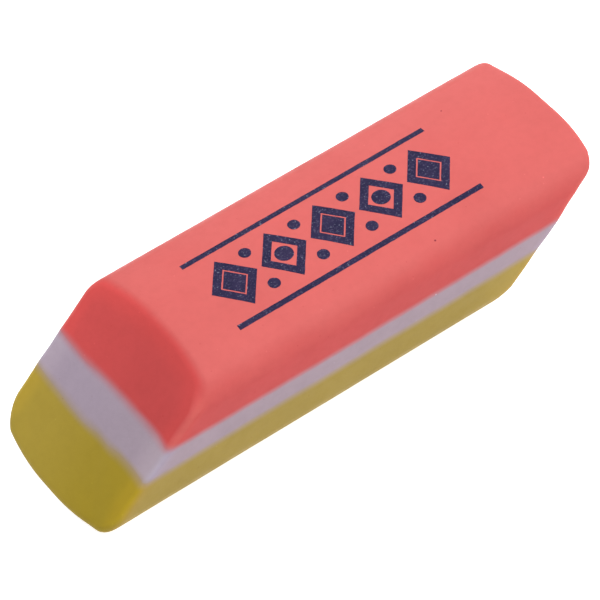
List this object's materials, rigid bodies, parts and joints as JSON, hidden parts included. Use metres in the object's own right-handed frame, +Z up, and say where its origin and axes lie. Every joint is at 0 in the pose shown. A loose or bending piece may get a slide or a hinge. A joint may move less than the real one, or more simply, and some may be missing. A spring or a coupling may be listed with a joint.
{
  "type": "block eraser",
  "caption": "Slant-ended block eraser of soft vinyl: coral, white and yellow layers bonded face to face, with a crowned top and bottom and rounded edges, for rubbing out pencil marks.",
  "frame": {"origin": "middle of the underside, on the surface that the eraser rests on", "axes": "+X along the block towards the end whose sharp edge is on top, +Y across it, +Z up through the layers from yellow to coral"},
  "size_m": [0.0536, 0.0166, 0.013],
  "materials": {
    "yellow_vinyl": "matte to satin soft vinyl, slightly translucent",
    "white_vinyl": "matte to satin soft vinyl, slightly translucent",
    "coral_vinyl": "matte to satin soft vinyl, slightly translucent"
  },
  "bodies": {
    "root": {"yellow_layer": "yellow_vinyl", "white_layer": "white_vinyl", "coral_layer": "coral_vinyl"}
  },
  "joints": []
}
